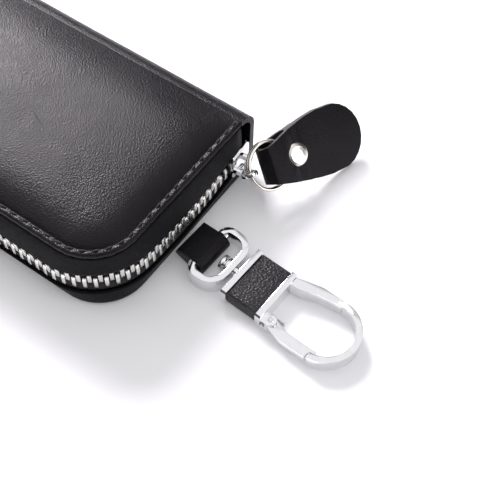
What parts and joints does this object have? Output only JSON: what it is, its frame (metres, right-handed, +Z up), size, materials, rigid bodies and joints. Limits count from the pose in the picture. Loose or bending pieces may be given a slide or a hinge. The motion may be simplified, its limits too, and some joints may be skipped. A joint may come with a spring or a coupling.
{
  "type": "key case",
  "caption": "Zip-round black leather key case with a folding spine, a row of key hooks inside, a leather zip pull and a swivel snap hook on a leather loop.",
  "frame": {"origin": "centre of the base on the table", "axes": "+X towards the snap hook, +Y towards the spine, +Z up"},
  "size_m": [0.1702, 0.0987, 0.0295],
  "materials": {
    "leather": "satin",
    "lining": "matt",
    "zip_tape": "matt",
    "zip_teeth": "polished",
    "polished_chrome": "polished",
    "nickel": "satin",
    "steel": "satin"
  },
  "bodies": {
    "base": {"lower_cover": "leather", "lower_lining": "lining", "lower_gusset": "leather", "lower_tape": "zip_tape", "lower_teeth": "zip_teeth", "lower_stops": "zip_teeth", "tether_loop": "leather", "key_backing": "leather", "key_plate": "nickel", "key_rail": "steel", "key_rivets": "nickel"},
    "spine": {"spine_panel": "leather", "spine_lining": "lining"},
    "lid": {"upper_cover": "leather", "upper_lining": "lining", "upper_gusset": "leather", "upper_tape": "zip_tape", "upper_teeth": "zip_teeth", "upper_stops": "zip_teeth", "card_pocket": "leather"},
    "slider": {"zip_slider": "polished_chrome"},
    "link": {"pull_link": "polished_chrome"},
    "ring": {"split_ring": "nickel"},
    "tab": {"pull_tab": "leather", "tab_rivet_cap": "nickel", "tab_rivet_post": "nickel"},
    "eye": {"swivel_eye": "polished_chrome"},
    "block": {"swivel_post": "polished_chrome", "hook_frame": "polished_chrome", "wrap_leather": "leather", "gate_pin": "steel", "gate_spring": "steel"},
    "gate": {"gate": "polished_chrome"},
    "key_1": {"key_hook_1": "nickel", "key_spring_1": "steel"},
    "key_2": {"key_hook_2": "nickel", "key_spring_2": "steel"},
    "key_3": {"key_hook_3": "nickel", "key_spring_3": "steel"},
    "key_4": {"key_hook_4": "nickel", "key_spring_4": "steel"},
    "key_5": {"key_hook_5": "nickel", "key_spring_5": "steel"},
    "key_6": {"key_hook_6": "nickel", "key_spring_6": "steel"}
  },
  "joints": [
    {"name": "spine_hinge", "type": "hinge", "parent": "base", "child": "spine", "pos_m": [0, 0.03399, 0.00276], "axis": [-1, 0, 0], "range_deg": [0, 85]},
    {"name": "lid_hinge", "type": "hinge", "parent": "spine", "child": "lid", "pos_m": [0, 0.03399, 0.02454], "axis": [-1, 0, 0], "range_deg": [0, 85]},
    {"name": "zip_travel", "type": "hinge", "parent": "base", "child": "slider", "pos_m": [-0.174, 0, 0.012], "axis": [0, 0, 1], "range_deg": [-4, 0], "deforming": ["lower_teeth", "upper_teeth"]},
    {"name": "link_swing", "type": "hinge", "parent": "slider", "child": "link", "pos_m": [0.0574, 0.02494, 0.012], "axis": [0.12, -0.9928, 0], "range_deg": [-8, 20]},
    {"name": "ring_swing", "type": "hinge", "parent": "link", "child": "ring", "pos_m": [0.06045, 0.02391, 0.0131], "axis": [-0.6181, 0.3328, 0.7122], "range_deg": [-6, 6]},
    {"name": "tab_swing", "type": "hinge", "parent": "ring", "child": "tab", "pos_m": [0.06529, 0.03721, 0.01109], "axis": [-0.6181, 0.3328, 0.7122], "range_deg": [-8, 8]},
    {"name": "eye_swing", "type": "hinge", "parent": "base", "child": "eye", "pos_m": [0.063, 0.00025, 0.0029], "axis": [-0.0576, -0.9983, 0], "range_deg": [-45, 60]},
    {"name": "swivel_turn", "type": "hinge", "parent": "eye", "child": "block", "pos_m": [0.07438, -0.00041, 0.0029], "axis": [0.9983, -0.0576, 0], "continuous": true},
    {"name": "gate_swing", "type": "hinge", "parent": "block", "child": "gate", "pos_m": [0.09034, -0.00854, 0.0029], "axis": [0, 0, 1], "range_deg": [0, 24], "stiffness_Nm_per_rad": 0.02, "springref_deg": -8.59, "deforming": ["gate_spring"]},
    {"name": "key_swing_1", "type": "hinge", "parent": "base", "child": "key_1", "pos_m": [-0.026, 0.0185, 0.00835], "axis": [-1, 0, 0], "range_deg": [0, 26]},
    {"name": "key_swing_2", "type": "hinge", "parent": "base", "child": "key_2", "pos_m": [-0.0156, 0.0185, 0.00835], "axis": [-1, 0, 0], "range_deg": [0, 26]},
    {"name": "key_swing_3", "type": "hinge", "parent": "base", "child": "key_3", "pos_m": [-0.0052, 0.0185, 0.00835], "axis": [-1, 0, 0], "range_deg": [0, 26]},
    {"name": "key_swing_4", "type": "hinge", "parent": "base", "child": "key_4", "pos_m": [0.0052, 0.0185, 0.00835], "axis": [-1, 0, 0], "range_deg": [0, 26]},
    {"name": "key_swing_5", "type": "hinge", "parent": "base", "child": "key_5", "pos_m": [0.0156, 0.0185, 0.00835], "axis": [-1, 0, 0], "range_deg": [0, 26]},
    {"name": "key_swing_6", "type": "hinge", "parent": "base", "child": "key_6", "pos_m": [0.026, 0.0185, 0.00835], "axis": [-1, 0, 0], "range_deg": [0, 26]}
  ],
  "couplings": [
    {"joint": "lid_hinge", "follows": "spine_hinge", "ratio": 1}
  ]
}
